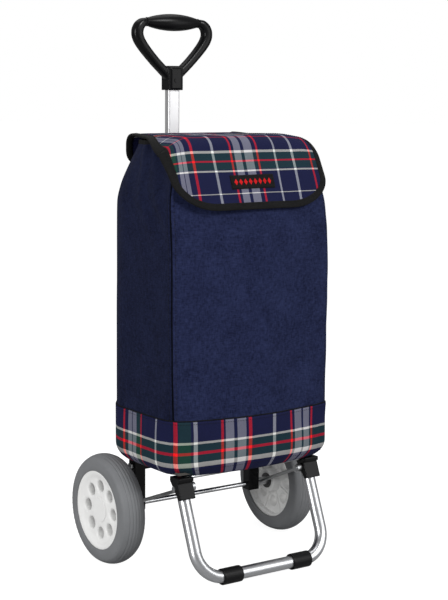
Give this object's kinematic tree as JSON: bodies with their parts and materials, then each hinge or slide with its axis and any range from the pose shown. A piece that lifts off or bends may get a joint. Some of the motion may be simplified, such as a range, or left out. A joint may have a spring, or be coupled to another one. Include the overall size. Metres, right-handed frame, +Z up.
{
  "type": "shopping trolley",
  "caption": "Two-wheeled shopping trolley with a soft lidded bag, a single mast with a D-shaped handle and a folding front foot.",
  "frame": {"origin": "on the floor, under the middle of the footprint", "axes": "+Z up, the front of the trolley faces -Y, +X to the right as seen from the front"},
  "size_m": [0.388, 0.302, 0.889],
  "materials": {
    "black_plastic": "moulded black plastic, satin",
    "soft_grip": "smooth black grip, satin",
    "aluminium": "anodised, satin",
    "steel": "zinc plated",
    "axle_chrome": "bright",
    "dark_steel": "blackened",
    "tyre": "grey foamed rubber",
    "white_plastic": "moulded white plastic",
    "foot_rubber": "matt black rubber",
    "navy_fabric": "woven polyester",
    "tartan_fabric": "woven tartan polyester",
    "black_tape": "woven tape",
    "board": "stiffening board"
  },
  "bodies": {
    "root": {"handle_frame": "black_plastic", "handle_grip": "soft_grip", "handle_screw": "steel", "mast_tube": "aluminium", "yoke": "black_plastic", "mast_screws": "steel", "left_post": "black_plastic", "right_post": "black_plastic", "post_bolts": "steel", "axle": "axle_chrome", "axle_washers": "steel", "left_stay": "steel", "right_stay": "steel", "left_axle_spacer": "black_plastic", "right_axle_spacer": "black_plastic", "hub_washers": "dark_steel", "axle_retainers": "steel", "platform_wire": "steel", "left_hinge_bracket": "black_plastic", "right_hinge_bracket": "black_plastic", "left_hinge_pin": "steel", "right_hinge_pin": "steel", "bag_body": "navy_fabric", "tartan_band": "tartan_fabric", "mouth_hem": "navy_fabric", "base_board": "board", "back_board": "board", "upper_mast_loop": "black_tape", "lower_mast_loop": "black_tape", "closure_loop_tape": "black_tape"},
    "left_wheel": {"left_tyre": "tyre", "left_rim": "white_plastic", "left_hub_bush": "black_plastic", "left_hub_cap": "white_plastic"},
    "right_wheel": {"right_tyre": "tyre", "right_rim": "white_plastic", "right_hub_bush": "black_plastic", "right_hub_cap": "white_plastic"},
    "foot": {"foot_tube": "aluminium", "left_leg_plug": "black_plastic", "right_leg_plug": "black_plastic", "left_foot_sleeve": "foot_rubber", "right_foot_sleeve": "foot_rubber"},
    "flap": {"flap": "tartan_fabric", "flap_binding": "black_tape", "closure_hook_tape": "black_tape", "label_patch": "black_tape"}
  },
  "joints": [
    {"name": "left_wheel_spin", "type": "hinge", "parent": "root", "child": "left_wheel", "pos_m": [-0.172, 0.06097, 0.09], "axis": [1, 0, 0], "continuous": true},
    {"name": "right_wheel_spin", "type": "hinge", "parent": "root", "child": "right_wheel", "pos_m": [0.172, 0.06097, 0.09], "axis": [1, 0, 0], "continuous": true},
    {"name": "foot_fold", "type": "hinge", "parent": "root", "child": "foot", "pos_m": [0, -0.08303, 0.149], "axis": [1, 0, 0], "range_deg": [0, 76]},
    {"name": "flap_open", "type": "hinge", "parent": "root", "child": "flap", "pos_m": [0, 0.11597, 0.688], "axis": [-1, 0, 0], "range_deg": [0, 90]}
  ]
}
